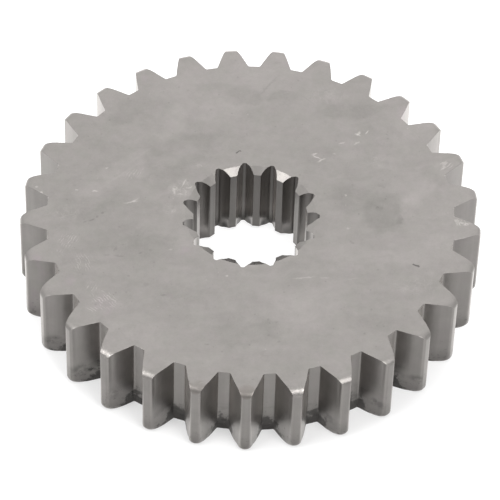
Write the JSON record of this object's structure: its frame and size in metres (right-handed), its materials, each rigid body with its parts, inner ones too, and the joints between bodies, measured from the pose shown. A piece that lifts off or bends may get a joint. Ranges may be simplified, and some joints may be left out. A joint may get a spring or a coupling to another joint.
{
  "type": "chain sprocket",
  "caption": "Flat steel silent-chain sprocket: a solid toothed disc with straight-sided tapered teeth and a splined through bore chamfered at both mouths.",
  "frame": {"origin": "the bore axis at the flat bottom face", "axes": "+Z along the bore axis from the bottom face to the top face; one tooth and one bore groove are centred on +Y"},
  "size_m": [0.089, 0.0889, 0.017],
  "materials": {
    "steel": "satin"
  },
  "bodies": {
    "root": {"sprocket": "steel"}
  },
  "joints": []
}
